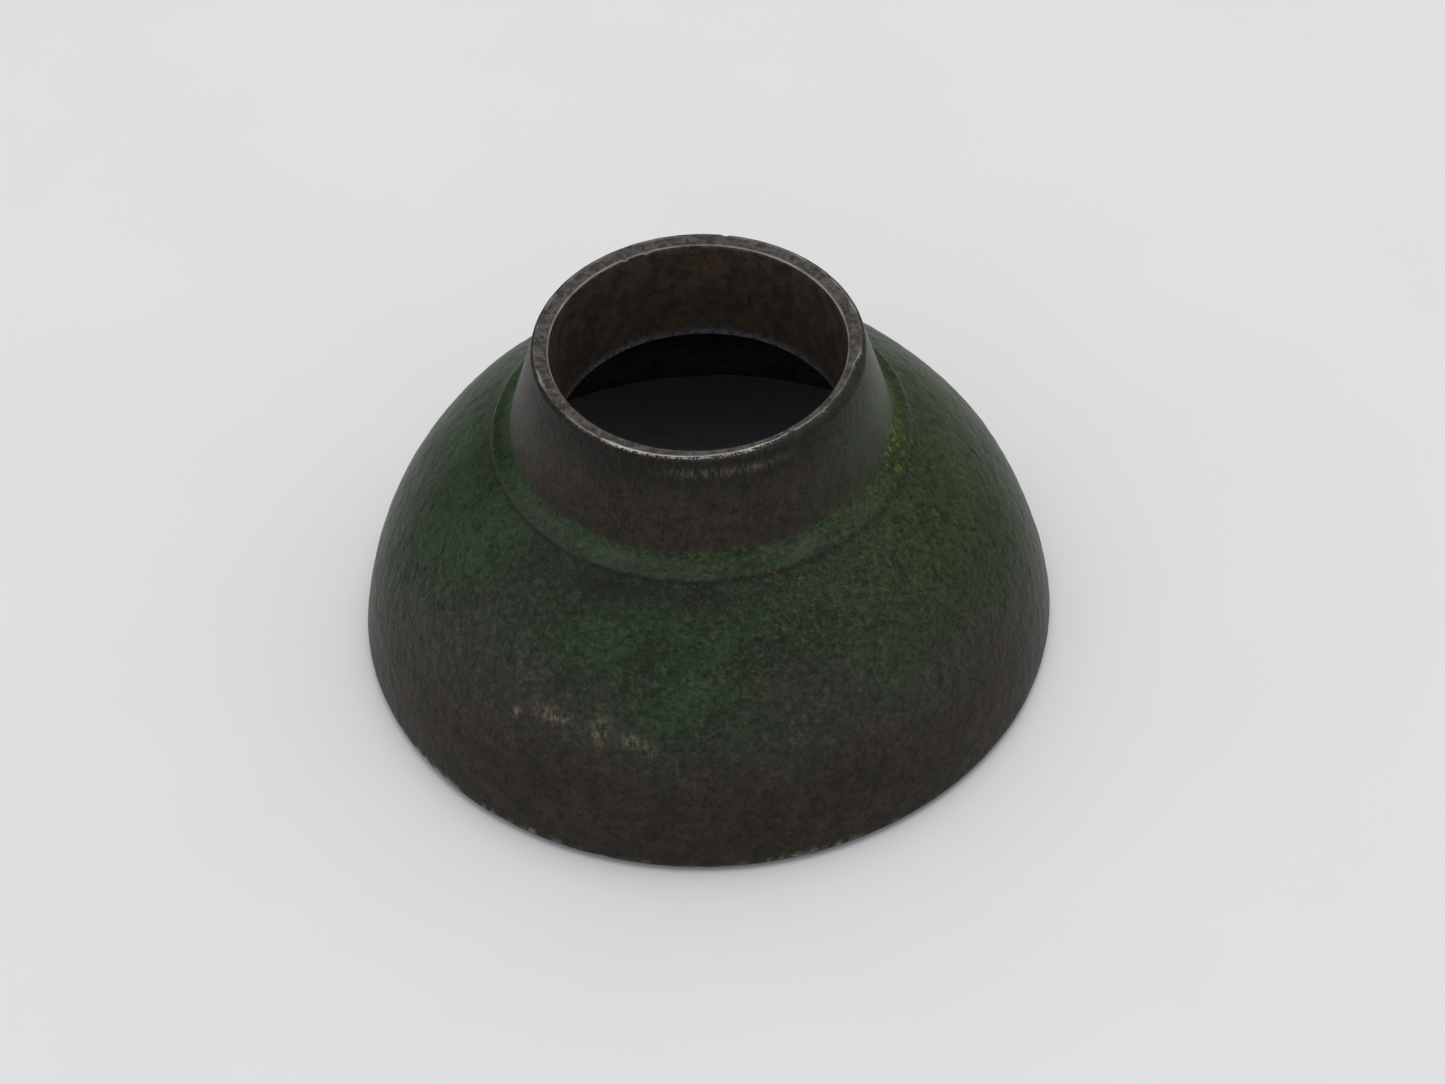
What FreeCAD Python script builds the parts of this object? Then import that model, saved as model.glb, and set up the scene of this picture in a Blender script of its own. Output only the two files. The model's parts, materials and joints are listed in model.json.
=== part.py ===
"""Bell-shaped iron casting with a short bored neck.

The object is one piece of cast iron that stands open side down on a thin rim.
The bowl is a zone of a sphere with an even wall. A fillet joins it to a round
neck, which is faced square at its end and bored right through.

Frame: millimetres, +Z up, the axis of the bell is Z, and the origin is the
middle of the rim that the bell stands on.
"""
import FreeCAD, Part
import math
import os

# Driving dimensions.
BOWL_RADIUS = 71.0          # radius of the sphere that the outside follows
BOWL_CENTRE_Z = -8.7        # height of that sphere's centre
WALL = 3.2                  # wall of the bowl
RIM_OUTER_ROUND = 2.0       # rounding outside the standing rim
RIM_INNER_ROUND = 0.5       # rounding inside the standing rim

LEDGE_Z = 50.6              # height of the ledge round the foot of the neck
LEDGE_RADIUS = 40.9         # outside radius of the ledge
LEDGE_EDGE_ROUND = 0.6      # rounding on top of the ledge's edge
LEDGE_ROOT_ROUND = 0.6      # rounding where the ledge's edge meets the bowl

NECK_TOP_Z = 72.0           # height of the faced neck end, and of the casting
NECK_TOP_RADIUS = 31.7      # outside radius of the neck at its faced end
NECK_DRAFT_DEG = 16.0       # the neck widens downwards by this draft
NECK_FILLET = 3.0           # fillet from the neck to the ledge
NECK_EDGE_ROUND = 0.4       # broken outer edge of the neck end

BORE_RADIUS = 28.5
BORE_TOP_CHAMFER = 0.4
BORE_BOTTOM_CHAMFER = 0.6
ROOF_Z = 47.7               # flat roof of the hollow, where the bore ends
ROOF_CORNER_ROUND = 6.0     # rounding from the roof to the inside of the bowl


def point(radius, height):
    """A point of the outline, in the XZ plane."""
    return FreeCAD.Vector(radius, 0.0, height)


def line(start, end):
    return Part.LineSegment(start, end).toShape()


def arc(start, end, centre, radius):
    """The short arc of the given circle from start to end."""
    middle = (start + end) * 0.5 - centre
    return Part.Arc(start, centre + middle * (radius / middle.Length), end).toShape()


def on_bowl(towards, radius):
    """The point at this radius from the sphere's centre, in line with another point."""
    centre = point(0.0, BOWL_CENTRE_Z)
    direction = towards - centre
    return centre + direction * (radius / direction.Length)


def round_centre(height, distance):
    """The centre of a rounding at this height and distance from the sphere's centre."""
    return point(math.sqrt(distance ** 2 - (height - BOWL_CENTRE_Z) ** 2), height)


def standing_rim():
    """The edges of the rim from inside to outside, with the two ends that meet the bowl."""
    inner = round_centre(RIM_INNER_ROUND, BOWL_RADIUS - WALL + RIM_INNER_ROUND)
    outer = round_centre(RIM_OUTER_ROUND, BOWL_RADIUS - RIM_OUTER_ROUND)
    inside_end = on_bowl(inner, BOWL_RADIUS - WALL)
    outside_end = on_bowl(outer, BOWL_RADIUS)
    seat_inner = point(inner.x, 0.0)
    seat_outer = point(outer.x, 0.0)
    edges = [
        arc(inside_end, seat_inner, inner, RIM_INNER_ROUND),
        line(seat_inner, seat_outer),
        arc(seat_outer, outside_end, outer, RIM_OUTER_ROUND),
    ]
    return edges, inside_end, outside_end


def outside_of_bowl(start):
    """The bowl's outside from the rim up, and the root and top of the ledge's edge."""
    root_radius = LEDGE_RADIUS + LEDGE_ROOT_ROUND
    root_rise = math.sqrt((BOWL_RADIUS + LEDGE_ROOT_ROUND) ** 2 - root_radius ** 2)
    root = point(root_radius, BOWL_CENTRE_Z + root_rise)
    bowl_end = on_bowl(root, BOWL_RADIUS)
    face_bottom = point(LEDGE_RADIUS, root.z)
    face_top = point(LEDGE_RADIUS, LEDGE_Z - LEDGE_EDGE_ROUND)
    edge = point(LEDGE_RADIUS - LEDGE_EDGE_ROUND, LEDGE_Z - LEDGE_EDGE_ROUND)
    ledge_start = point(edge.x, LEDGE_Z)
    edges = [
        arc(start, bowl_end, point(0.0, BOWL_CENTRE_Z), BOWL_RADIUS),
        arc(bowl_end, face_bottom, root, LEDGE_ROOT_ROUND),
        line(face_bottom, face_top),
        arc(face_top, ledge_start, edge, LEDGE_EDGE_ROUND),
    ]
    return edges, ledge_start


def outside_of_neck(ledge_start):
    """The ledge, the fillet, the drafted neck and the broken edge of its end."""
    draft = math.radians(NECK_DRAFT_DEG)
    fillet_z = LEDGE_Z + NECK_FILLET
    neck_at_fillet = NECK_TOP_RADIUS + (NECK_TOP_Z - fillet_z) * math.tan(draft)
    fillet = point(neck_at_fillet + NECK_FILLET / math.cos(draft), fillet_z)
    ledge_end = point(fillet.x, LEDGE_Z)
    inward = point(-math.cos(draft), -math.sin(draft))
    neck_foot = fillet + inward * NECK_FILLET
    edge_z = NECK_TOP_Z - NECK_EDGE_ROUND
    neck_at_edge = NECK_TOP_RADIUS + NECK_EDGE_ROUND * math.tan(draft)
    edge = point(neck_at_edge - NECK_EDGE_ROUND / math.cos(draft), edge_z)
    neck_top = edge - inward * NECK_EDGE_ROUND
    face_outer = point(edge.x, NECK_TOP_Z)
    edges = [
        line(ledge_start, ledge_end),
        arc(ledge_end, neck_foot, fillet, NECK_FILLET),
        line(neck_foot, neck_top),
        arc(neck_top, face_outer, edge, NECK_EDGE_ROUND),
    ]
    return edges, face_outer


def bore_and_hollow(face_outer, inside_end):
    """The faced end, the bore, the flat roof of the hollow and the inside of the bowl."""
    corner_distance = BOWL_RADIUS - WALL - ROOF_CORNER_ROUND
    corner = round_centre(ROOF_Z - ROOF_CORNER_ROUND, corner_distance)
    roof_end = point(corner.x, ROOF_Z)
    bowl_start = on_bowl(corner, BOWL_RADIUS - WALL)
    outline = [
        face_outer,
        point(BORE_RADIUS + BORE_TOP_CHAMFER, NECK_TOP_Z),
        point(BORE_RADIUS, NECK_TOP_Z - BORE_TOP_CHAMFER),
        point(BORE_RADIUS, ROOF_Z + BORE_BOTTOM_CHAMFER),
        point(BORE_RADIUS + BORE_BOTTOM_CHAMFER, ROOF_Z),
        roof_end,
    ]
    edges = [line(first, second) for first, second in zip(outline, outline[1:])]
    edges.append(arc(roof_end, bowl_start, corner, ROOF_CORNER_ROUND))
    edges.append(arc(bowl_start, inside_end, point(0.0, BOWL_CENTRE_Z), BOWL_RADIUS - WALL))
    return edges


def bell_casting():
    """The whole casting, turned from its outline about the Z axis."""
    edges, inside_end, outside_end = standing_rim()
    bowl_edges, ledge_start = outside_of_bowl(outside_end)
    neck_edges, face_outer = outside_of_neck(ledge_start)
    edges += bowl_edges + neck_edges
    edges += bore_and_hollow(face_outer, inside_end)
    outline = Part.Face(Part.Wire(edges))
    return outline.revolve(FreeCAD.Vector(0, 0, 0), FreeCAD.Vector(0, 0, 1), 360.0)


def main():
    os.makedirs("parts", exist_ok=True)
    casting = bell_casting()
    if not casting.isValid() or len(casting.Solids) != 1:
        raise RuntimeError("the casting is not one valid solid")
    casting.Solids[0].exportStep("parts/bell_casting.step")
    print("bell_casting: volume %.0f mm3" % casting.Volume)


main()
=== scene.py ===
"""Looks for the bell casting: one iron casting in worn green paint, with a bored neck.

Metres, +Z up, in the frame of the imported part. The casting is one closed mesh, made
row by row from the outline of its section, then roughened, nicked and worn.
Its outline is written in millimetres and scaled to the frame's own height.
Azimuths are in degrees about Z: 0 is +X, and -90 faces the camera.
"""
import bpy
import json
import math
import numpy as np
from mathutils import Matrix, Vector, noise


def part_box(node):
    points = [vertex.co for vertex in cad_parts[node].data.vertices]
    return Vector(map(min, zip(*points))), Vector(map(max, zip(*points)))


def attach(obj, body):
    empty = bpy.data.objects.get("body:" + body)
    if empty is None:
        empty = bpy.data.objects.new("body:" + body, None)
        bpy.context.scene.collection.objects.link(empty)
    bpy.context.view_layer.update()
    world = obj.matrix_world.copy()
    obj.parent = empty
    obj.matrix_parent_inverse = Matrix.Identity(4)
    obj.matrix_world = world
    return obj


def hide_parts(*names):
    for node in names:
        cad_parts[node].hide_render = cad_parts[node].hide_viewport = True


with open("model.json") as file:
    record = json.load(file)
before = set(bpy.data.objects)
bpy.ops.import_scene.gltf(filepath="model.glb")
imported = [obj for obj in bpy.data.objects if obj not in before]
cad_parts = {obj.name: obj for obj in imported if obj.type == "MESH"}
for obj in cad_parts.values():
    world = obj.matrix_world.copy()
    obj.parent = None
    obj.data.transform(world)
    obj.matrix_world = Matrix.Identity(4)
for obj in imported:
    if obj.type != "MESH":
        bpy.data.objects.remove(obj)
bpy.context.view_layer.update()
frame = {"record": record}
NODE = "bell_casting"
BORE_MOUNT = next(m for m in frame["record"]["mounts"] if m["name"] == "neck_bore")

# The section's outline, in millimetres.
BOWL_RADIUS = 71.0
BOWL_CENTRE_Z = -8.7
WALL = 3.2
RIM_OUTER_ROUND = 2.0
RIM_INNER_ROUND = 0.5
LEDGE_Z = 50.6
LEDGE_RADIUS = 40.9
LEDGE_ROUND = 0.6
NECK_TOP_Z = 72.0
NECK_TOP_RADIUS = 31.7
NECK_DRAFT = math.radians(16.0)
NECK_FILLET = 3.0
BORE_RADIUS = BORE_MOUNT["dims"]["r_mm"]
BORE_TOP_CHAMFER = 0.4
BORE_BOTTOM_CHAMFER = 0.6
ROOF_Z = 47.7
ROOF_CORNER_ROUND = 6.0

# One millimetre in the frame, from the height of the neck's end.
MM = (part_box(NODE)[1].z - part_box(NODE)[0].z) / NECK_TOP_Z

# How finely the mesh is divided.
OUTSIDE_COLUMNS = 600
INSIDE_COLUMNS = 300
BOWL_STEP = 0.85
NECK_STEP = 0.7
BORE_STEP = 0.8
HOLLOW_STEP = 3.0
RIM_STEP = 0.45
INNER_RIM_STEP = 0.3
LEDGE_STEP = 0.25
FLAT_STEP = 0.5
BEVEL_ROWS = 7
FACE_ROWS = 4
SHARP_ANGLE = math.radians(38.0)

# The room's light: its strength round the sides and behind, and in a dim patch in front.
DIM_SIDE = (0.0, -0.69, 0.72)           # the direction of the middle of the dim patch
DIM_EDGE = 0.68                         # its dot product with a direction at the patch's edge
DIM_CORE = 0.99                         # the same, where the patch is dimmest
SIDE_LIGHT = 0.84
FRONT_LIGHT = 0.17
SIDE_COLOUR = (1.0, 0.985, 0.965, 1.0)
FRONT_COLOUR = (0.76, 0.9, 1.22, 1.0)

# Sockets of the Mix node, which has its own set for colours and for numbers.
MIX_SHARE = 0
COLOUR_FIRST = 6
COLOUR_SECOND = 7
COLOUR_RESULT = 2
NUMBER_FIRST = 2
NUMBER_SECOND = 3
NUMBER_RESULT = 0


# ---------------------------------------------------------------- camera, floor and light

def add_camera():
    """The camera, looking down at the front of the bell, turned a little about its own axis."""
    pitch = math.radians(46.6)
    roll = math.radians(-2.02)
    distance = 0.6202
    aim_right = 0.0029
    aim_up = 0.0118
    back = Vector((0.0, -math.cos(pitch), math.sin(pitch)))
    level_right = Vector((1.0, 0.0, 0.0))
    level_up = back.cross(level_right)
    right = level_right * math.cos(roll) + level_up * math.sin(roll)
    up = level_up * math.cos(roll) - level_right * math.sin(roll)
    data = bpy.data.cameras.new("camera")
    data.sensor_width = 36.0
    data.lens = 74.7
    data.clip_start = 0.01
    camera = bpy.data.objects.new("camera", data)
    axes = Matrix((right, up, back)).transposed().to_4x4()
    place = back * distance + right * aim_right + up * aim_up
    camera.matrix_world = Matrix.Translation(place) @ axes
    bpy.context.scene.collection.objects.link(camera)
    bpy.context.scene.camera = camera


def add_area_light(name, place, size, power, colour):
    """A soft square lamp that faces the bell."""
    data = bpy.data.lights.new(name, "AREA")
    data.shape = "SQUARE"
    data.size = size
    data.energy = power
    data.color = colour
    lamp = bpy.data.objects.new(name, data)
    lamp.location = place
    lamp.rotation_euler = (-Vector(place)).to_track_quat("-Z", "Y").to_euler()
    bpy.context.scene.collection.objects.link(lamp)


def add_light():
    """Pale light from the sides, behind and above, a dim bluish patch in front, and a weak low lamp."""
    world = bpy.data.worlds.new("studio")
    world.use_nodes = True
    tree = world.node_tree
    background = tree.nodes["Background"]
    direction = tree.nodes.new("ShaderNodeTexCoord")
    forward = tree.nodes.new("ShaderNodeVectorMath")
    forward.operation = "DOT_PRODUCT"
    forward.inputs[1].default_value = DIM_SIDE
    tree.links.new(direction.outputs["Generated"], forward.inputs[0])
    dim = tree.nodes.new("ShaderNodeMapRange")
    dim.interpolation_type = "SMOOTHSTEP"
    dim.inputs["From Min"].default_value = DIM_EDGE
    dim.inputs["From Max"].default_value = DIM_CORE
    dim.inputs["To Min"].default_value = SIDE_LIGHT
    dim.inputs["To Max"].default_value = FRONT_LIGHT
    tree.links.new(forward.outputs["Value"], dim.inputs["Value"])
    tree.links.new(dim.outputs["Result"], background.inputs["Strength"])
    tint = tree.nodes.new("ShaderNodeMix")
    tint.data_type = "RGBA"
    tint.inputs[COLOUR_FIRST].default_value = FRONT_COLOUR
    tint.inputs[COLOUR_SECOND].default_value = SIDE_COLOUR
    tree.links.new(dim.outputs["Result"], tint.inputs[MIX_SHARE])
    tree.links.new(tint.outputs[COLOUR_RESULT], background.inputs["Color"])
    bpy.context.scene.world = world
    add_area_light("overhead", (0.1, 0.19, 1.5), 1.1, 8.0, (1.0, 0.99, 0.97))
    add_area_light("low front", (-0.15, -1.4, 0.55), 0.9, 2.5, (1.0, 0.97, 0.93))


# ---------------------------------------------------------------- short-hand for materials

class Graph:
    """Builds the nodes of one Principled material."""

    def __init__(self, name):
        self.material = bpy.data.materials.new(name)
        self.material.use_nodes = True
        self.tree = self.material.node_tree
        self.shader = self.tree.nodes["Principled BSDF"]
        place = self.tree.nodes.new("ShaderNodeTexCoord")
        self.place = self.vector("SCALE", place.outputs["Object"], scale=1.0 / MM)

    def feed(self, socket, value):
        """Sets a socket from a number, a colour or another node's output; None leaves it as it is."""
        if isinstance(value, bpy.types.NodeSocket):
            self.tree.links.new(value, socket)
        elif value is not None:
            socket.default_value = value

    def vector(self, operation, first, second=None, scale=None):
        node = self.tree.nodes.new("ShaderNodeVectorMath")
        node.operation = operation
        self.feed(node.inputs[0], first)
        self.feed(node.inputs[1], second)
        if scale is not None:
            node.inputs["Scale"].default_value = scale
        return node.outputs["Vector"]

    def math(self, operation, first, second):
        node = self.tree.nodes.new("ShaderNodeMath")
        node.operation = operation
        self.feed(node.inputs[0], first)
        self.feed(node.inputs[1], second)
        return node.outputs["Value"]

    def times(self, first, second):
        return self.math("MULTIPLY", first, second)

    def plus(self, first, second):
        return self.math("ADD", first, second)

    def noise(self, grain, detail=2.0, roughness=0.55, stretch=None, distortion=0.0, shift=0.0):
        """Noise with lumps about this many millimetres across, from 0 to 1."""
        place = self.place
        if shift:
            place = self.vector("ADD", place, (shift, shift * 0.7, shift * 1.3))
        if stretch:
            place = self.vector("MULTIPLY", place, stretch)
        node = self.tree.nodes.new("ShaderNodeTexNoise")
        self.feed(node.inputs["Vector"], place)
        node.inputs["Scale"].default_value = 1.0 / grain
        node.inputs["Detail"].default_value = detail
        node.inputs["Roughness"].default_value = roughness
        node.inputs["Distortion"].default_value = distortion
        return node.outputs["Fac"]

    def step(self, value, low, high, bottom=0.0, top=1.0):
        """A smooth step from bottom to top, as the value goes from low to high."""
        node = self.tree.nodes.new("ShaderNodeMapRange")
        node.interpolation_type = "SMOOTHSTEP"
        self.feed(node.inputs["Value"], value)
        node.inputs["From Min"].default_value = low
        node.inputs["From Max"].default_value = high
        node.inputs["To Min"].default_value = bottom
        node.inputs["To Max"].default_value = top
        return node.outputs["Result"]

    def mix(self, share, first, second):
        """The first colour, turning to the second as share goes from 0 to 1."""
        node = self.tree.nodes.new("ShaderNodeMix")
        node.data_type = "RGBA"
        self.feed(node.inputs[MIX_SHARE], share)
        self.feed(node.inputs[COLOUR_FIRST], first)
        self.feed(node.inputs[COLOUR_SECOND], second)
        return node.outputs[COLOUR_RESULT]

    def blend(self, share, first, second):
        """The first number, turning to the second as share goes from 0 to 1."""
        node = self.tree.nodes.new("ShaderNodeMix")
        node.data_type = "FLOAT"
        self.feed(node.inputs[MIX_SHARE], share)
        self.feed(node.inputs[NUMBER_FIRST], first)
        self.feed(node.inputs[NUMBER_SECOND], second)
        return node.outputs[NUMBER_RESULT]

    def attribute(self, name):
        """A value kept on the mesh's points."""
        node = self.tree.nodes.new("ShaderNodeAttribute")
        node.attribute_name = name
        return node.outputs["Fac"]

    def bump(self, height, depth, before=None):
        """A normal roughened by this height, which is this many millimetres from 0 to 1."""
        node = self.tree.nodes.new("ShaderNodeBump")
        node.inputs["Strength"].default_value = 1.0
        node.inputs["Distance"].default_value = depth * MM
        self.feed(node.inputs["Height"], height)
        self.feed(node.inputs["Normal"], before)
        return node.outputs["Normal"]

    def finish(self, **sockets):
        """Feeds the shader's own sockets and returns the material."""
        for name, value in sockets.items():
            self.feed(self.shader.inputs[name.replace("_", " ")], value)
        return self.material


def shade(red, green, blue):
    """A colour given by its 0 to 255 screen values."""
    return tuple(((c / 255.0 + 0.055) / 1.055) ** 2.4 if c > 10 else c / 255.0 / 12.92
                 for c in (red, green, blue)) + (1.0,)


# ---------------------------------------------------------------- materials

def paint_and_iron(g, patches, grain):
    """Green paint with brown iron showing through, and how far it is worn through, from 0 to 1."""
    coarse = g.noise(9.0, 3.0)
    green = g.mix(g.step(coarse, 0.35, 0.65), shade(27, 43, 21), shade(36, 56, 31))
    green = g.mix(g.attribute("olive"), green, shade(43, 54, 25))
    # Teal flecks, most in front, paint in highlights on the grain.
    teal = g.times(g.step(g.noise(1.7, 3.0, 0.65, shift=71.0), 0.54, 0.68), g.attribute("teal"))
    green = g.mix(teal, green, shade(37, 60, 46))
    iron = g.mix(g.step(patches, 0.35, 0.65), shade(37, 32, 25), shade(46, 41, 32))
    rub = g.plus(g.attribute("rub"), g.times(g.math("SUBTRACT", patches, 0.5), 1.25))
    rub = g.plus(rub, g.times(g.math("SUBTRACT", grain, 0.5), 1.1))
    worn = g.step(rub, 0.1, 0.95)
    return g.mix(worn, green, iron), worn


def relief_dirt_and_painted_light(g, colour, relief):
    """Dirt and painted shade in the hollows of the relief, worn paint and painted highlights on its high
    spots, then the painted highlight on the fillet, and the painted shade with a little dirt.
    """
    # Dirt and painted shade in the hollows of the relief.
    valley_dirt_and_shade = g.step(relief, 0.49, 0.41)
    colour = g.mix(g.times(valley_dirt_and_shade, 0.65), colour, shade(17, 17, 12))
    # Worn paint and painted highlights on the high spots of the relief.
    crest_wear_and_highlight = g.times(g.step(relief, 0.53, 0.6), g.blend(g.attribute("rough"), 0.03, 0.3))
    colour = g.mix(crest_wear_and_highlight, colour, shade(82, 86, 72))
    # The fillet's band in front, painted paler as the highlight where it faces up.
    colour = g.mix(g.attribute("pale"), colour, shade(86, 94, 78))
    # The darkest colour paints shade high on the neck and in the ledge's crease, and a shadow under the
    # ledge, with faint dirt.
    return g.mix(g.attribute("grime"), colour, shade(19, 17, 14))


def rust_and_flecks(g, colour):
    """Rust in spots and in fine specks, and yellow-green flecks."""
    spots = g.times(g.step(g.noise(1.6, 2.0, 0.7, shift=41.0), 0.62, 0.72),
                    g.step(g.noise(11.0, 2.0, shift=47.0), 0.48, 0.6))
    colour = g.mix(g.times(spots, g.attribute("rust")), colour, shade(88, 60, 32))
    specks = g.times(g.step(g.noise(0.75, 2.0, 0.6, shift=59.0), 0.6, 0.7), g.attribute("rust"))
    colour = g.mix(g.times(specks, 0.55), colour, shade(92, 76, 44))
    flecks = g.times(g.step(g.noise(1.5, 3.0, 0.7, shift=67.0), 0.5, 0.66), g.attribute("yellow"))
    return g.mix(flecks, colour, shade(92, 96, 44))


def scrapes_and_chip_glints(g, colour, brushed, fine):
    """Pale scrapes, the brushed marks on the neck, and pale spots along the standing rim that paint in
    glints on its broken edge.
    """
    streaks = g.noise(0.8, 3.0, 0.6, stretch=(1.0, 1.0, 0.16), shift=31.0)
    scrape = g.times(g.step(streaks, 0.38, 0.66), g.attribute("scrape"))
    colour = g.mix(scrape, colour, shade(126, 121, 92))
    colour = g.mix(g.step(brushed, 0.46, 0.7, 0.0, 0.16), colour, shade(78, 74, 64))
    # Pale spots on the standing rim: painted glints on its broken edge.
    chip_glint_share = g.times(g.attribute("chipped"), g.step(fine, 0.38, 0.54))
    return g.mix(chip_glint_share, colour, shade(188, 179, 162))


def painted_iron():
    """Old dark green paint on sand-cast iron, rubbed through to brown iron in soft patches, with shade
    and highlights painted into its colour.
    """
    g = Graph("painted_iron")
    patches = g.noise(4.4, 4.0, 0.62, distortion=0.5, shift=19.0)
    lump = g.noise(2.2, 1.0, 0.5, distortion=0.3, shift=83.0)
    grain = g.noise(1.1, 2.0, 0.6, distortion=0.4, shift=5.0)
    fine = g.noise(0.45, 2.0, 0.6, shift=23.0)
    glint = g.noise(0.5, 2.0, 0.7, shift=97.0)
    brushed = g.times(g.noise(0.5, 2.0, 0.6, stretch=(1.0, 1.0, 0.12), shift=53.0), g.attribute("neck"))
    relief = g.plus(g.plus(g.times(grain, 0.55), g.times(lump, 0.2)), g.times(fine, 0.25))
    bare = g.times(g.attribute("bare"), g.step(glint, 0.46, 0.55))

    colour, worn = paint_and_iron(g, patches, grain)
    colour = relief_dirt_and_painted_light(g, colour, relief)
    colour = rust_and_flecks(g, colour)
    colour = scrapes_and_chip_glints(g, colour, brushed, fine)
    colour = g.mix(bare, colour, shade(150, 146, 140))

    rough = g.attribute("rough")
    height = g.times(g.plus(g.times(grain, 0.7), g.times(fine, 0.3)), rough)
    normal = g.bump(g.times(lump, rough), 0.95, g.bump(brushed, 0.12))
    normal = g.bump(height, 1.0, normal)
    roughness = g.blend(worn, g.step(fine, 0.3, 0.7, 0.32, 0.44), g.step(fine, 0.3, 0.7, 0.38, 0.5))
    gloss = g.times(g.math("MAXIMUM", worn, g.attribute("neck")), 0.07)
    gloss = g.plus(gloss, g.blend(rough, 0.02, 0.17))
    return g.finish(Base_Color=colour, Roughness=roughness, Normal=normal, Metallic=bare,
                    Specular_IOR_Level=gloss, Sheen_Weight=0.06, Sheen_Roughness=0.25)


def machined_iron():
    """The faced end of the neck: dark grey-brown iron, with a thin bright edge."""
    g = Graph("machined_iron")
    mottle = g.noise(1.3, 3.0, 0.65)
    fine = g.noise(0.3, 2.0, 0.6, shift=9.0)
    colour = g.mix(g.step(mottle, 0.35, 0.65), shade(46, 42, 37), shade(82, 78, 73))
    stain = g.step(g.noise(0.8, 2.0, 0.6, shift=17.0), 0.56, 0.68)
    colour = g.mix(stain, colour, shade(40, 32, 26))
    bare = g.attribute("bare")
    colour = g.mix(bare, colour, shade(196, 193, 188))
    roughness = g.step(mottle, 0.3, 0.7, 0.34, 0.5)
    return g.finish(Base_Color=colour, Roughness=roughness, Normal=g.bump(fine, 0.05), Metallic=0.75)


def bore_iron():
    """The wall of the bore: dull brown rusted iron with darker patches, and a pale blue-grey speckled
    band low down.
    """
    g = Graph("bore_iron")
    patches = g.noise(3.0, 4.0, 0.65, distortion=0.4)
    fine = g.noise(0.5, 2.0, 0.6, shift=3.0)
    colour = g.mix(g.step(patches, 0.36, 0.64), shade(44, 36, 29), shade(76, 60, 45))
    colour = g.mix(g.step(g.noise(1.4, 2.0, shift=13.0), 0.6, 0.72), colour, shade(28, 25, 22))
    # A pale blue-grey speckled band low in the bore, strongest behind.
    pale_low_band = g.times(g.attribute("bare"), g.step(g.noise(0.9, 3.0, 0.7, shift=29.0), 0.36, 0.58))
    colour = g.mix(pale_low_band, colour, shade(120, 126, 134))
    normal = g.bump(fine, 0.08, g.bump(patches, 0.12))
    return g.finish(Base_Color=colour, Roughness=0.55, Normal=normal, Metallic=0.2)


def hollow_iron():
    """The inside of the bowl: bare dark cast iron, never painted, paler in patches low down."""
    g = Graph("hollow_iron")
    patches = g.noise(6.0, 4.0, 0.6)
    grain = g.noise(1.2, 3.0, 0.6, shift=7.0)
    colour = g.mix(g.step(patches, 0.38, 0.62), shade(44, 41, 40), shade(66, 58, 52))
    colour = g.mix(g.step(grain, 0.6, 0.75), colour, shade(82, 56, 38))
    # Paler in patches towards the bottom of the wall.
    dust = g.times(g.attribute("dust"), g.step(patches, 0.3, 0.6, 0.4, 0.9))
    colour = g.mix(dust, colour, shade(128, 125, 122))
    normal = g.bump(grain, 0.2, g.bump(patches, 0.3))
    return g.finish(Base_Color=colour, Roughness=0.7, Normal=normal, Specular_IOR_Level=0.3)


def floor_paint():
    """A plain pale bench top, very slightly cloudy."""
    g = Graph("floor")
    cloud = g.noise(60.0, 3.0)
    colour = g.mix(cloud, shade(224, 222, 220), shade(229, 227, 225))
    return g.finish(Base_Color=colour, Roughness=0.45, Specular_IOR_Level=0.3)


# ---------------------------------------------------------------- the outline of the section

def arc(centre, radius, start, end, step):
    """Points on an arc in the section, from start to end in radians, ends included."""
    count = max(2, round(abs(end - start) * radius / step))
    angles = [start + (end - start) * i / count for i in range(count + 1)]
    return [(centre[0] + radius * math.cos(a), centre[1] + radius * math.sin(a)) for a in angles]


def run(start, end, step):
    """Points on a straight line in the section, ends included."""
    count = max(1, round(math.dist(start, end) / step))
    return [(start[0] + (end[0] - start[0]) * i / count, start[1] + (end[1] - start[1]) * i / count)
            for i in range(count + 1)]


def round_centre(height, distance):
    """The centre of a rounding at this height and distance from the bowl's centre."""
    return math.sqrt(distance ** 2 - (height - BOWL_CENTRE_Z) ** 2), height


def bearing(centre):
    """The angle at the bowl's centre of a point of the section, in radians."""
    return math.atan2(centre[1] - BOWL_CENTRE_Z, centre[0])


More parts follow.
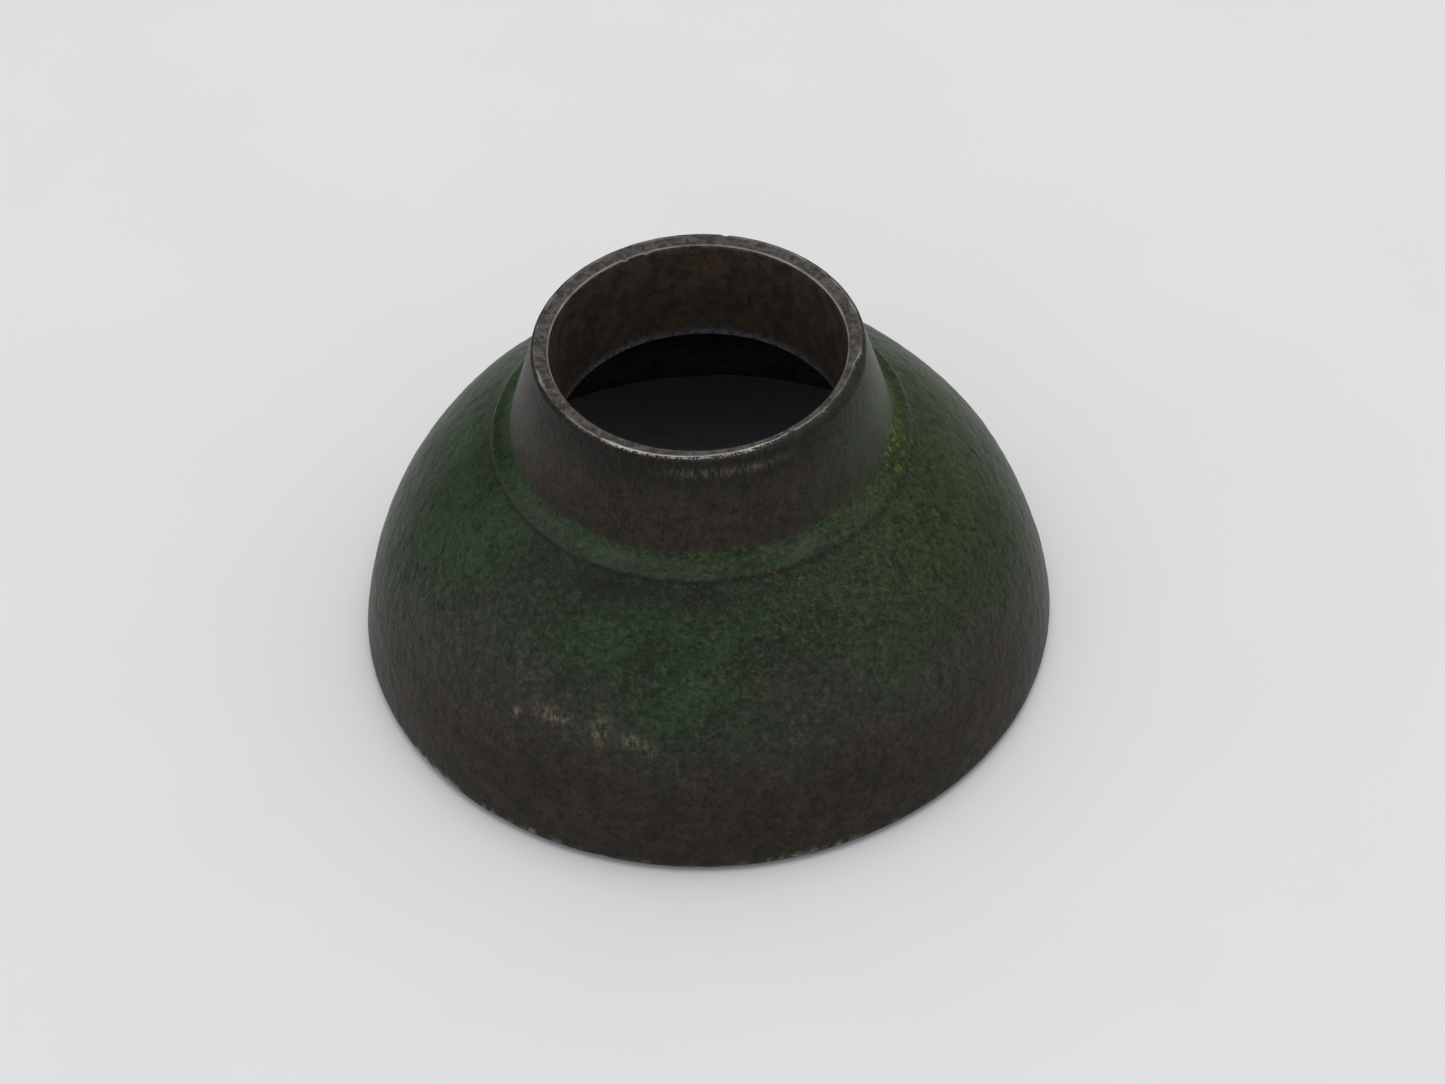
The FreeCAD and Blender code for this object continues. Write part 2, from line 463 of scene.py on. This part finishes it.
def outside_outline():
    """The rim's outer rounding, the bowl, the ledge and the fillet, as zones of points."""
    bowl = (0.0, BOWL_CENTRE_Z)
    rim = round_centre(RIM_OUTER_ROUND, BOWL_RADIUS - RIM_OUTER_ROUND)
    root_radius = LEDGE_RADIUS + LEDGE_ROUND
    root_rise = math.sqrt((BOWL_RADIUS + LEDGE_ROUND) ** 2 - root_radius ** 2)
    root = (root_radius, BOWL_CENTRE_Z + root_rise)
    edge = (LEDGE_RADIUS - LEDGE_ROUND, LEDGE_Z - LEDGE_ROUND)
    fillet_z = LEDGE_Z + NECK_FILLET
    neck_at_fillet = NECK_TOP_RADIUS + (NECK_TOP_Z - fillet_z) * math.tan(NECK_DRAFT)
    fillet = (neck_at_fillet + NECK_FILLET / math.cos(NECK_DRAFT), fillet_z)
    return [
        ("rim", arc(rim, RIM_OUTER_ROUND, -math.pi / 2, bearing(rim), RIM_STEP)),
        ("bowl", arc(bowl, BOWL_RADIUS, bearing(rim), bearing(root), BOWL_STEP)),
        ("ledge", arc(root, LEDGE_ROUND, bearing(root) + math.pi, math.pi, LEDGE_STEP)),
        ("ledge", arc(edge, LEDGE_ROUND, 0.0, math.pi / 2, LEDGE_STEP)),
        ("ledge", run((edge[0], LEDGE_Z), (fillet[0], LEDGE_Z), FLAT_STEP)),
        ("fillet", arc(fillet, NECK_FILLET, -math.pi / 2, -math.pi + NECK_DRAFT, NECK_STEP)),
    ]


def inside_outline():
    """The bore, the roof, the inside of the bowl and the rim's inner rounding, as zones of points."""
    bowl = (0.0, BOWL_CENTRE_Z)
    corner_distance = BOWL_RADIUS - WALL - ROOF_CORNER_ROUND
    corner = round_centre(ROOF_Z - ROOF_CORNER_ROUND, corner_distance)
    rim = round_centre(RIM_INNER_ROUND, BOWL_RADIUS - WALL + RIM_INNER_ROUND)
    bore_top = (BORE_RADIUS, NECK_TOP_Z - BORE_TOP_CHAMFER)
    bore_bottom = (BORE_RADIUS, ROOF_Z + BORE_BOTTOM_CHAMFER)
    roof_edge = (BORE_RADIUS + BORE_BOTTOM_CHAMFER, ROOF_Z)
    return [
        ("bore", run(bore_top, bore_bottom, BORE_STEP)),
        ("bore_edge", run(bore_bottom, roof_edge, FLAT_STEP)),
        ("roof", run(roof_edge, (corner[0], ROOF_Z), HOLLOW_STEP)),
        ("hollow", arc(corner, ROOF_CORNER_ROUND, math.pi / 2, bearing(corner), HOLLOW_STEP / 2)),
        ("hollow", arc(bowl, BOWL_RADIUS - WALL, bearing(corner), bearing(rim), HOLLOW_STEP)),
        ("hollow", arc(rim, RIM_INNER_ROUND, bearing(rim) + math.pi, 1.5 * math.pi, INNER_RIM_STEP)),
    ]


# ---------------------------------------------------------------- how the casting is worn, and where shade and highlights are painted on it

def turned(azimuth, middle):
    """How far an azimuth is from another, from -180 to 180 degrees."""
    return (azimuth - middle + 180.0) % 360.0 - 180.0


def near(distance, reach):
    """A smooth hump, 1 at no distance and near 0 past the reach."""
    return np.exp(-(np.asarray(distance) / reach) ** 2 * 2.0)


def rise(value, low, high):
    """A smooth step from 0 to 1 as the value goes from low to high."""
    share = np.clip((np.asarray(value) - low) / (high - low), 0.0, 1.0)
    return share * share * (3.0 - 2.0 * share)


def sector(azimuth, start, end, soft):
    """1 between two azimuths, going round from start to end, fading over soft degrees."""
    middle = (start + end) / 2.0
    half = (end - start) / 2.0
    return rise(half - np.abs(turned(azimuth, middle)), -soft, soft)


def wave(azimuth, seed, count, size):
    """A smooth closed ripple round the axis: smooth noise with about count lumps a turn."""
    angle = np.radians(azimuth)
    reach = count / math.tau
    points = zip(np.cos(angle) * reach, np.sin(angle) * reach)
    return size * np.array([noise.noise(Vector((x, y, seed))) for x, y in points])


def lumps(points, grain, seed):
    """Smooth noise from -1 to 1 at each point, with lumps about grain millimetres across."""
    shift = Vector((seed, -seed, seed * 0.5))
    return np.array([noise.noise(Vector(point) / grain + shift) for point in points.tolist()])


# Dents in the edges of the faced end: azimuth, radius, depth and width in millimetres.
END_NICKS = [
    (-172.0, 31.2, 0.55, 0.9), (-152.5, 31.1, 0.25, 0.7), (118.5, 28.7, 0.5, 0.8),
    (109.5, 28.5, 0.45, 0.7), (79.0, 31.7, 0.3, 0.9), (-56.0, 29.9, 0.25, 0.7),
    (35.0, 31.3, 0.3, 0.8), (-128.0, 30.9, 0.2, 0.8),
]
# Chips in the rim that the bell stands on: azimuth, depth and width in millimetres.
RIM_CHIPS = [
    (-139.0, 0.45, 1.6), (-133.0, 0.3, 1.0), (-126.0, 0.4, 1.4), (-108.0, 0.35, 1.8), (-93.0, 0.25, 1.5),
    (-76.0, 0.4, 1.2), (-71.0, 0.3, 1.0), (-30.0, 0.3, 1.5), (14.0, 0.35, 1.6), (52.0, 0.4, 1.3),
    (97.0, 0.3, 1.8), (141.0, 0.4, 1.2), (172.0, 0.3, 1.5),
]
CHIPS_BELOW = 4.0           # the chips reach no higher than this
PALE_SPOTS_BELOW = 5.0      # nor the pale spots along the same edge, painted glints, than this
# Radius of the faced end's outer edge at some azimuths: it is worn back most in front on the right.
FACE_EDGE = [
    (-180.0, 31.3), (-152.0, 31.0), (-113.0, 30.8), (-90.0, 30.4), (-56.0, 29.8), (-13.0, 30.1),
    (-8.0, 30.9), (2.0, 31.3), (90.0, 31.4), (180.0, 31.3),
]


# How far down the worn bevel reaches: least, and more for each millimetre that the edge is worn back.
BEVEL_LEAST = 0.3
BEVEL_PER_WEAR = 0.95


def edge_bevel(azimuth):
    """The radius of the faced end's edge, and how far down the worn bevel outside it reaches."""
    ripple = wave(azimuth, 3.0, 70.0, 0.10) + wave(azimuth, 5.0, 190.0, 0.07)
    face_edge = np.interp(azimuth, *zip(*FACE_EDGE))
    return face_edge + ripple, BEVEL_LEAST + BEVEL_PER_WEAR * (NECK_TOP_RADIUS - face_edge)


def neck_radius(z):
    """The neck's outside radius at a height."""
    return NECK_TOP_RADIUS + (NECK_TOP_Z - z) * math.tan(NECK_DRAFT)


# ---------------------------------------------------------------- the casting's mesh

class Rows:
    """Rings of points from the section's outline, and the zone that each ring is in."""

    def __init__(self):
        self.rings = []
        self.zones = []

    def add(self, zone, azimuth, radius, height):
        """One ring: radius and height are numbers, or arrays with one value per column."""
        radius = np.broadcast_to(radius, azimuth.shape)
        height = np.broadcast_to(height, azimuth.shape)
        self.rings.append(np.stack([azimuth, radius, height], axis=1))
        self.zones.append(zone)

    def add_zones(self, zones, azimuth):
        """Rings for the zones of an outline, where each zone starts on the last one's end."""
        for zone, points in zones:
            first = 0 if not self.rings else 1
            for radius, height in points[first:]:
                self.add(zone, azimuth, radius, height)


def columns(count):
    """The azimuths of a ring's points."""
    return np.arange(count) * 360.0 / count - 180.0


def casting_rows():
    """Every ring of the casting, from the seat up the outside and down the inside."""
    rows = Rows()
    outside = columns(OUTSIDE_COLUMNS)
    rows.add_zones(outside_outline(), outside)
    face_edge, down = edge_bevel(outside)
    fillet_end = rows.rings[-1][0, 2]
    neck_rows = round((NECK_TOP_Z - fillet_end) / NECK_STEP)
    for i in range(1, neck_rows + 1):
        height = fillet_end + (NECK_TOP_Z - down - fillet_end) * i / neck_rows
        rows.add("neck", outside, neck_radius(height), height)
    shoulder = neck_radius(NECK_TOP_Z - down)
    for i in range(1, BEVEL_ROWS + 1):
        turn = math.pi / 2 * i / BEVEL_ROWS
        radius = shoulder - (shoulder - face_edge) * (1.0 - math.cos(turn))
        rows.add("bevel", outside, radius, NECK_TOP_Z - down * (1.0 - math.sin(turn)))
    face_inner = BORE_RADIUS + BORE_TOP_CHAMFER
    for i in range(1, FACE_ROWS + 1):
        rows.add("face", outside, face_edge + (face_inner - face_edge) * i / FACE_ROWS, NECK_TOP_Z)
    rows.add("chamfer", outside, BORE_RADIUS, NECK_TOP_Z - BORE_TOP_CHAMFER)
    rows.add_zones(inside_outline(), columns(INSIDE_COLUMNS))
    return rows


# How many rows beside the ledge are blurred with it, and how many times.
LEDGE_BLUR_ROWS = 4
LEDGE_BLURS = 14


def soften_ledge(rows):
    """Blurs the ledge's step: most on the right and behind, least on the left."""
    marked = [i for i, zone in enumerate(rows.zones) if zone == "ledge"]
    first, last = marked[0] - LEDGE_BLUR_ROWS, marked[-1] + LEDGE_BLUR_ROWS
    azimuth = rows.rings[first][:, 0]
    left = sector(azimuth, -180.0, -120.0, 20.0)
    right = sector(azimuth, -48.0, 10.0, 14.0)
    behind = sector(azimuth, 60.0, 150.0, 25.0)
    faint = 0.52 - 0.26 * left + 0.5 * right + 0.4 * behind
    faint = np.clip(faint + wave(azimuth, 8.0, 9.0, 0.25), 0.0, 1.0)[:, None]
    crisp = np.array([rows.rings[i] for i in range(first, last + 1)])
    soft = crisp.copy()
    for _ in range(LEDGE_BLURS):
        soft[1:-1] = (soft[:-2] + soft[1:-1] * 2.0 + soft[2:]) / 4.0
    for k, i in enumerate(range(first, last + 1)):
        rows.rings[i] = crisp[k] + (soft[k] - crisp[k]) * faint


# How rough each zone is, compared with the bowl's outside.
ROUGHNESS = {
    "rim": 0.5, "bowl": 1.0, "ledge": 0.9, "fillet": 0.6, "neck": 0.3, "bevel": 0.3, "face": 0.04,
    "chamfer": 0.0, "bore": 0.25, "bore_edge": 0.5, "roof": 1.0, "hollow": 1.3,
}
# Lumps of the cast skin: size across and height, in millimetres.
CAST_LUMPS = [(17.0, 0.20), (5.0, 0.08), (2.3, 0.09)]


def roughened(rows):
    """The rings as points in millimetres, pushed in and out like sand-cast iron."""
    placed = []
    count = len(rows.rings)
    for i, ring in enumerate(rows.rings):
        before = rows.rings[max(i - 1, 0)][0]
        after = rows.rings[min(i + 1, count - 1)][0]
        along = (after - before)[1:]
        along = along / max(np.linalg.norm(along), 1e-9)
        angle = np.radians(ring[:, 0])
        radial = np.stack([np.cos(angle), np.sin(angle), np.zeros(len(angle))], axis=1)
        points = radial * ring[:, 1:2]
        points[:, 2] = ring[:, 2]
        outward = radial * along[1]
        outward[:, 2] = -along[0]
        push = sum(tall * lumps(points, wide, seed) for seed, (wide, tall) in enumerate(CAST_LUMPS, 1))
        points = points + outward * (push * ROUGHNESS[rows.zones[i]])[:, None]
        placed.append(points)
    return placed


def nick_end(rows, placed):
    """Presses the small dents into the edges of the faced end."""
    for i, zone in enumerate(rows.zones):
        if zone in ("bevel", "face", "chamfer"):
            ring = rows.rings[i]
            for azimuth, radius, depth, width in END_NICKS:
                along = np.radians(turned(ring[:, 0], azimuth)) * radius
                amount = near(np.hypot(along, ring[:, 1] - radius), width) * depth
                placed[i][:, 2] -= amount


def chip_rim(rows, placed):
    """Breaks small chips out of the edge that the bell stands on."""
    for i, zone in enumerate(rows.zones):
        if zone == "rim" or (zone == "bowl" and rows.rings[i][0, 2] < CHIPS_BELOW):
            ring = rows.rings[i]
            height = ring[:, 2]
            for azimuth, depth, width in RIM_CHIPS:
                along = np.radians(turned(ring[:, 0], azimuth)) * ring[:, 1]
                amount = near(np.hypot(along, height * 0.9), width) * depth
                placed[i][:, :2] *= (1.0 - amount / ring[:, 1])[:, None]


def join_rings(starts, counts, zones):
    """Faces between neighbouring rings, and the last ring and the first, with each one's zone."""
    faces = []
    kinds = []
    total = len(starts)
    for i in range(total):
        j = (i + 1) % total
        here, there = starts[i], starts[j]
        around_here, around_there = counts[i], counts[j]
        made_before = len(faces)
        if around_here == around_there:
            for k in range(around_here):
                after = (k + 1) % around_here
                faces.append((here + k, here + after, there + after, there + k))
        elif around_here > around_there:
            for k in range(around_there):
                a, b, c = here + 2 * k, here + 2 * k + 1, here + (2 * k + 2) % around_here
                d, e = there + k, there + (k + 1) % around_there
                faces += [(a, b, d), (b, e, d), (b, c, e)]
        else:
            for k in range(around_here):
                a, b = here + k, here + (k + 1) % around_here
                c, d, e = there + 2 * k, there + 2 * k + 1, there + (2 * k + 2) % around_there
                faces += [(a, d, c), (a, b, d), (b, e, d)]
        kinds += [zones[j]] * (len(faces) - made_before)
    return faces, kinds


# Height of the edge of the paint on the bowl at some azimuths; below it the paint is rubbed away.
PAINT_EDGE = [
    (-180.0, 10.0), (-160.0, 20.0), (-140.0, 31.0), (-120.0, 30.0), (-100.0, 25.0), (-85.0, 26.0),
    (-65.0, 27.0), (-40.0, 24.0), (-20.0, 17.0), (20.0, 10.0), (70.0, 22.0), (120.0, 18.0), (180.0, 10.0),
]


def wear_values(points, azimuth, zones):
    """For each point, how much of each kind of wear and dirt it has, and of painted shade and highlight,
    where 1 is full.
    """
    height = points[:, 2]
    radius = np.hypot(points[:, 0], points[:, 1])
    drift = lumps(points, 14.0, 6.0)
    on_neck = rise(height + drift, 52.4, 54.2) * (radius > BORE_RADIUS + BORE_TOP_CHAMFER)
    front = sector(azimuth, -150.0, -38.0, 22.0) * rise(height, 14.0, 30.0)
    crest = near(height - 51.2, 2.0) * (radius > BORE_RADIUS + WALL)
    # A painted highlight on the fillet's band in front, where it faces up.
    pale = crest * np.clip(0.16 + 0.3 * drift, 0.0, 0.4) * sector(azimuth, -150.0, -40.0, 20.0)
    values = {
        "rub": rubbed(azimuth, height, drift, on_neck),
        "neck": on_neck,
        "rough": (0.22 + 0.78 * front) * (1.0 - 0.75 * on_neck),
        "pale": pale,
        # painted shade and shadow, with faint dirt
        "grime": grime(azimuth, height, drift),
        "scrape": scrapes(azimuth, height, radius),
        # pale spots on the standing rim: painted glints
        "chipped": chipped(azimuth, height, zones),
        # paler towards the bottom of the wall inside
        "dust": rise(height, 14.0, 3.0) * (zones == "hollow"),
        "bare": bare_edges(azimuth, height, zones),
    }
    values.update(tints(azimuth, height, on_neck))
    return values


def right_side(azimuth):
    """1 on the right, where the neck has kept its paint."""
    return sector(azimuth, -48.0, 40.0, 22.0)


def rubbed(azimuth, height, drift, on_neck):
    """How far the paint is rubbed away: low on the bowl, and all round the neck but the right."""
    edge = np.interp(azimuth, *zip(*PAINT_EDGE))
    on_bowl = rise(edge + 3.5 - height + drift * 7.0, -14.0, 12.0)
    round_neck = 1.1 - 0.8 * right_side(azimuth) + 0.25 * drift
    return on_bowl * (1.0 - on_neck) + on_neck * round_neck


def tints(azimuth, height, on_neck):
    """Where the paint is rusty, yellow or olive, and where it has teal flecks that paint in highlights on
    the grain.
    """
    shoulder = rise(height, 30.0, 42.0) * (1.0 - on_neck)
    patch = near(turned(azimuth, -14.0) / 13.0, 1.0) * near(height - 52.6, 4.0)
    foot = near(height - 52.4, 1.6) * sector(azimuth, -130.0, 20.0, 20.0)
    yellow = 0.8 * patch + 0.4 * foot + 0.16 * right_side(azimuth) * shoulder
    return {
        "rust": shoulder * (0.25 + 0.75 * sector(azimuth, -95.0, 10.0, 20.0)),
        "yellow": np.clip(yellow, 0.0, 1.0),
        "olive": sector(azimuth, -62.0, 60.0, 28.0) * 0.42,
        # teal flecks, painted highlights on the grain, most in front
        "teal": 0.25 + 0.45 * sector(azimuth, -130.0, -52.0, 20.0),
    }


def grime(azimuth, height, drift):
    """Painted shade high on the neck, most in front, and in the crease of the ledge, a painted shadow
    below the ledge in front, and faint dirt in random patches.
    """
    front = sector(azimuth, -180.0, -20.0, 25.0)
    shade_high_on_neck = rise(height, 62.0, 70.5) * (0.25 + 0.5 * front)
    shadow_under_ledge = near(height - 47.4, 2.6) * sector(azimuth, -135.0, -62.0, 18.0) * (0.45 + 0.7 * drift)
    crease = near(height - 49.4, 0.6) * 0.6
    return np.clip(shade_high_on_neck + shadow_under_ledge + crease + 0.12 * drift, 0.0, 0.8)


# Pale scrapes on the bowl: azimuth, height, half-width and half-height in millimetres, strength.
SCRAPES = [
    (-126.2, 25.6, 0.9, 0.7, 1.0), (-119.0, 27.6, 4.5, 1.3, 0.7), (-110.0, 27.5, 1.8, 2.6, 0.75),
    (-104.0, 26.8, 2.2, 1.2, 0.8), (-100.9, 25.6, 1.0, 1.2, 1.0),
]
SCRAPE_RADIUS = 60.0    # roughly the bowl's radius at their height


def scrapes(azimuth, height, radius):
    """The pale scrapes on the bowl and the pale flecks under the neck's end."""
    total = np.zeros(len(height))
    for middle, level, wide, tall, strength in SCRAPES:
        along = np.radians(turned(azimuth, middle)) * SCRAPE_RADIUS
        total += strength * near(np.hypot(along / wide, (height - level) / tall), 1.3)
    flecks = sector(azimuth, -100.0, -62.0, 8.0) * near(height - 69.6, 1.1) * rise(radius, 29.5, 30.5)
    return np.clip(total + 0.4 * flecks, 0.0, 1.0)


def chipped(azimuth, height, zones):
    """Small pale spots along the edge that the bell stands on, most of them in front on the left: painted
    glints on its broken edge.
    """
    low = ((zones == "rim") | (zones == "bowl")) & (height < PALE_SPOTS_BELOW)
    spots = np.clip(wave(azimuth, 15.0, 330.0, 1.8) + wave(azimuth, 21.0, 45.0, 1.3) - 0.1, 0.0, 0.8)
    front = 0.2 + 0.8 * sector(azimuth, -152.0, -118.0, 5.0) + 0.5 * sector(azimuth, -82.0, -68.0, 3.0)
    return low * spots * front * near(height - 1.9, 0.6)


def bare_edges(azimuth, height, zones):
    """Bright metal on the worn edges of the neck's end, and a pale blue-grey band low in the bore."""
    bare = np.zeros(len(height))
    ripple = wave(azimuth, 12.0, 34.0, 0.7)
    front_end = sector(azimuth, -125.0, -55.0, 15.0)
    top = rise(height, NECK_TOP_Z - 0.07, NECK_TOP_Z - 0.01)
    bevel = zones == "bevel"
    bare[bevel] = (top * np.clip(0.12 + 0.9 * ripple + 0.75 * front_end, 0.0, 1.0))[bevel]
    chamfer = zones == "chamfer"
    bare[chamfer] = np.clip(0.55 + 0.8 * ripple, 0.1, 0.9)[chamfer]
    # Low in the bore the value makes a pale blue-grey band, strongest behind.
    in_bore = (zones == "bore") | (zones == "bore_edge")
    band = near(height - ROOF_Z - 1.0, 1.3) * (0.35 + 0.65 * sector(azimuth, 35.0, 145.0, 20.0))
    bare[in_bore] = band[in_bore]
    return bare


MOST_WEAR = 1.2             # a wear value may go this far past full
# Which of the four materials each zone has; the others have the first, the paint.
MATERIAL_OF_ZONE = {"face": 1, "chamfer": 1, "bore": 2, "bore_edge": 2, "roof": 3, "hollow": 3}


def casting_mesh(points, faces, kinds, wear):
    """The casting's mesh in metres, from points in millimetres, with its wear values and materials."""
    mesh = bpy.data.meshes.new(NODE)
    mesh.from_pydata((points * MM).tolist(), [], faces)
    for name, value in wear.items():
        layer = mesh.attributes.new(name, "FLOAT", "POINT")
        layer.data.foreach_set("value", np.clip(value, 0.0, MOST_WEAR).astype(np.float32))
    for material in (painted_iron(), machined_iron(), bore_iron(), hollow_iron()):
        mesh.materials.append(material)
    indices = [MATERIAL_OF_ZONE.get(kind, 0) for kind in kinds]
    mesh.polygons.foreach_set("material_index", indices)
    mesh.polygons.foreach_set("use_smooth", [True] * len(faces))
    mesh.set_sharp_from_angle(angle=SHARP_ANGLE)
    mesh.update()
    return mesh


def build_casting():
    """The casting as one closed mesh, on the part's only body."""
    rows = casting_rows()
    soften_ledge(rows)
    placed = roughened(rows)
    nick_end(rows, placed)
    chip_rim(rows, placed)
    placed[0][:, 2] = 0.0
    placed[-1][:, 2] = 0.0
    counts = [len(ring) for ring in placed]
    starts = np.concatenate([[0], np.cumsum(counts)[:-1]]).tolist()
    points = np.concatenate(placed)
    points[:, 2] = np.maximum(points[:, 2], 0.0)
    azimuth = np.concatenate([ring[:, 0] for ring in rows.rings])
    zones = np.repeat(np.array(rows.zones), counts)
    faces, kinds = join_rings(starts, counts, rows.zones)
    mesh = casting_mesh(points, faces, kinds, wear_values(points, azimuth, zones))
    casting = bpy.data.objects.new("casting", mesh)
    bpy.context.scene.collection.objects.link(casting)
    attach(casting, "root")
    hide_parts(NODE)


def add_floor():
    """The pale bench top that the bell stands on."""
    half = 3.0
    mesh = bpy.data.meshes.new("floor")
    corners = [(-half, -half, 0.0), (half, -half, 0.0), (half, half, 0.0), (-half, half, 0.0)]
    mesh.from_pydata(corners, [], [(0, 1, 2, 3)])
    mesh.materials.append(floor_paint())
    floor = bpy.data.objects.new("floor", mesh)
    bpy.context.scene.collection.objects.link(floor)


add_camera()
bpy.context.scene.view_settings.view_transform = "Standard"
add_light()
add_floor()
build_casting()
